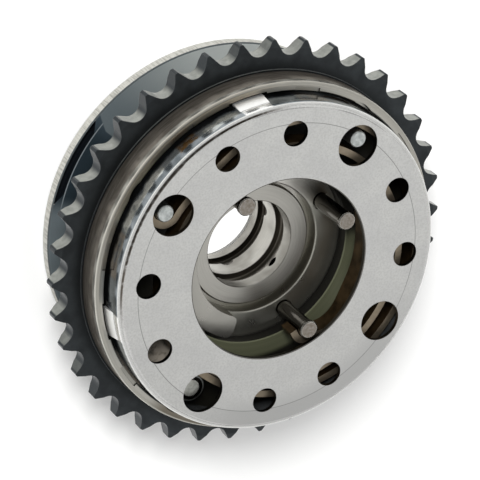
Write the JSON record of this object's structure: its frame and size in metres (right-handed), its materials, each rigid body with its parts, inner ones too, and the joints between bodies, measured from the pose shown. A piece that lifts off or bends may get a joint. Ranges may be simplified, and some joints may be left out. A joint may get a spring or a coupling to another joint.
{
  "type": "cam phaser",
  "caption": "Vane-type cam phaser with a chain sprocket housing, a rotor that turns inside it against a spiral return spring, a drilled spring cover and a trigger wheel at the back.",
  "frame": {"origin": "on the turning axis, at the rear face of the trigger wheel, which is what the part lies on", "axes": "+Z along the turning axis, up through the spring cover; +X through one of the cover's small holes"},
  "size_m": [0.0982, 0.0984, 0.0352],
  "materials": {
    "cover_steel": "satin pressed sheet",
    "rim_steel": "turned and worn bright",
    "sintered_steel": "dark steam-treated, flanks worn lighter",
    "plate_steel": "ground",
    "rotor_steel": "dark satin ground",
    "turned_steel": "fine turned",
    "wheel_steel": "satin",
    "pin_steel": "smooth",
    "screw_steel": "pale zinc",
    "spring_steel": "brown oil-tempered strip, tan edges",
    "hardened_steel": "ground",
    "wire_steel": "bright wire",
    "seal_plastic": "moulded",
    "seat_plastic": "moulded"
  },
  "bodies": {
    "rotor": {"rotor": "rotor_steel", "hub_sleeve": "turned_steel", "trigger_wheel": "wheel_steel", "spring_pins": "pin_steel", "return_spring": "spring_steel", "lock_spring": "wire_steel", "lock_spring_seat": "seat_plastic", "vane_seal_1": "seal_plastic", "vane_seal_2": "seal_plastic", "vane_seal_3": "seal_plastic", "vane_seal_4": "seal_plastic", "vane_seal_spring_1": "wire_steel", "vane_seal_spring_2": "wire_steel", "vane_seal_spring_3": "wire_steel", "vane_seal_spring_4": "wire_steel"},
    "housing": {"spring_cover": "cover_steel", "front_plate": "rim_steel", "sprocket_housing": "sintered_steel", "rear_plate": "plate_steel", "lock_seat": "hardened_steel", "hanger_screws": "screw_steel", "stop_screw": "screw_steel", "short_screw": "screw_steel", "lobe_seal_1": "seal_plastic", "lobe_seal_spring_1": "wire_steel", "lobe_seal_2": "seal_plastic", "lobe_seal_spring_2": "wire_steel", "lobe_seal_3": "seal_plastic", "lobe_seal_spring_3": "wire_steel", "lobe_seal_4": "seal_plastic", "lobe_seal_spring_4": "wire_steel"},
    "lock_pin": {"lock_pin": "hardened_steel"}
  },
  "joints": [
    {"name": "phase_turn", "type": "hinge", "parent": "rotor", "child": "housing", "pos_m": [0, 0, 0.0165], "axis": [0, 0, 1], "range_deg": [0, 32], "stiffness_Nm_per_rad": 0.9, "springref_deg": -57.3, "deforming": ["return_spring"]},
    {"name": "lock_slide", "type": "slide", "parent": "rotor", "child": "lock_pin", "axis": [0, 0, 1], "range_m": [0, 0.0022], "deforming": ["lock_spring"]}
  ],
  "couplings": [
    {"joint": "lock_slide", "follows": "phase_turn", "m_per_rad": 0.003939}
  ]
}
